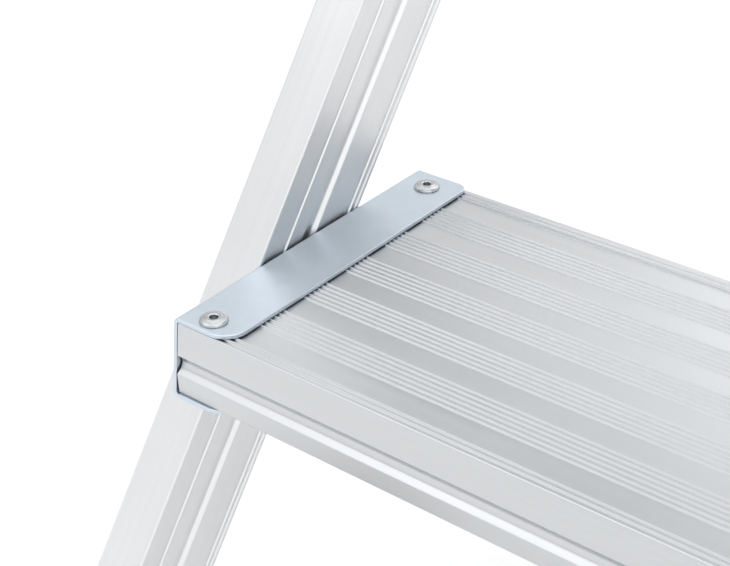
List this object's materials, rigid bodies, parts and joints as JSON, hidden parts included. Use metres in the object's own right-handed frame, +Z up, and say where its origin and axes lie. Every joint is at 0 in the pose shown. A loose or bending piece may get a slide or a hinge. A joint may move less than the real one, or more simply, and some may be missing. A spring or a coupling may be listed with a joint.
{
  "type": "step ladder",
  "caption": "Folding aluminium step ladder with deep ribbed treads in folded steel brackets, a folding platform and a hinged rear frame.",
  "frame": {"origin": "on the floor, in the middle of the footprint of the four feet", "axes": "+X along the treads to the right, +Y from the climbing side to the rear, +Z up"},
  "size_m": [0.6926, 1.0584, 1.2206],
  "materials": {
    "stile_aluminium": "mill-finished extrusion, fine lengthwise draw lines",
    "tread_aluminium": "mill-finished ribbed extrusion",
    "tube_aluminium": "drawn tube",
    "brace_aluminium": "mill-finished extrusion",
    "zinc_steel": "bluish zinc plating, satin",
    "rivet_steel": "bright zinc plating",
    "bolt_steel": "zinc plating",
    "foot_rubber": "matt moulded rubber",
    "cap_plastic": "moulded plastic",
    "spacer_nylon": "natural nylon"
  },
  "bodies": {
    "front_frame": {"left_front_stile": "stile_aluminium", "left_front_foot": "foot_rubber", "left_front_cap": "cap_plastic", "right_front_stile": "stile_aluminium", "right_front_foot": "foot_rubber", "right_front_cap": "cap_plastic", "lower_tread": "tread_aluminium", "lower_tread_rivets": "rivet_steel", "lower_tread_stile_rivets": "rivet_steel", "lower_tread_left_bracket": "zinc_steel", "lower_tread_right_bracket": "zinc_steel", "middle_tread": "tread_aluminium", "middle_tread_rivets": "rivet_steel", "middle_tread_stile_rivets": "rivet_steel", "middle_tread_left_bracket": "zinc_steel", "middle_tread_right_bracket": "zinc_steel", "upper_tread": "tread_aluminium", "upper_tread_rivets": "rivet_steel", "upper_tread_stile_rivets": "rivet_steel", "upper_tread_left_bracket": "zinc_steel", "upper_tread_right_bracket": "zinc_steel", "hinge_bolts": "bolt_steel", "hinge_nuts": "bolt_steel", "hinge_spacers": "spacer_nylon", "platform_pivot_bolts": "bolt_steel", "platform_pivot_nuts": "bolt_steel", "platform_pivot_spacers": "spacer_nylon", "top_rail": "tube_aluminium", "top_rail_plugs": "spacer_nylon", "top_rail_bolts": "bolt_steel"},
    "rear_frame": {"left_rear_stile": "stile_aluminium", "left_rear_foot": "foot_rubber", "left_rear_cap": "cap_plastic", "right_rear_stile": "stile_aluminium", "right_rear_foot": "foot_rubber", "right_rear_cap": "cap_plastic", "platform_support_tube": "tube_aluminium", "support_tube_cleats": "zinc_steel", "upper_rear_brace": "brace_aluminium", "lower_rear_brace": "brace_aluminium", "brace_rivets": "rivet_steel"},
    "platform": {"platform_deck": "tread_aluminium", "platform_left_bracket": "zinc_steel", "platform_right_bracket": "zinc_steel", "platform_rivets": "rivet_steel", "platform_hooks": "zinc_steel", "platform_hook_rivets": "rivet_steel"}
  },
  "joints": [
    {"name": "rear_frame_fold", "type": "hinge", "parent": "front_frame", "child": "rear_frame", "pos_m": [0, 0.14697, 1.16076], "axis": [-1, 0, 0], "range_deg": [0, 45.5]},
    {"name": "platform_tilt", "type": "hinge", "parent": "front_frame", "child": "platform", "pos_m": [0, 0.01662, 0.9256], "axis": [1, 0, 0], "range_deg": [0, 61]}
  ]
}
